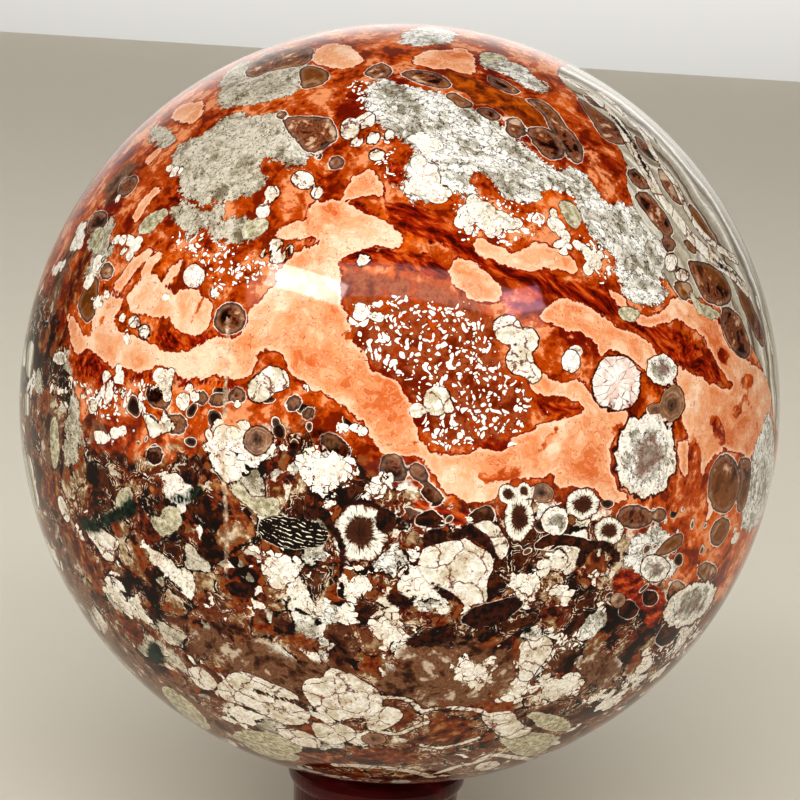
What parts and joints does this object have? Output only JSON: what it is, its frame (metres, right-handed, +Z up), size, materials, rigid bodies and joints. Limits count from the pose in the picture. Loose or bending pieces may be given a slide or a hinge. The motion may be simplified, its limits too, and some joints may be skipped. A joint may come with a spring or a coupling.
{
  "type": "money agate sphere on ring stand",
  "caption": "Polished ball of money agate, orange-red over brown and white with coin-like rings, resting on a small turned dark red wooden ring stand.",
  "frame": {"origin": "middle of the stand's foot, on the surface that it stands on", "axes": "+Z up through the stand's axis and the stone's centre; -Y is the side of the stone seen in the picture"},
  "size_m": [0.12, 0.12, 0.1389],
  "materials": {
    "polished_agate": "mirror-polished chalcedony",
    "red_lacquered_wood": "turned hardwood under dark red gloss lacquer"
  },
  "bodies": {
    "root": {"agate_sphere": "polished_agate", "ring_stand": "red_lacquered_wood"}
  },
  "joints": []
}
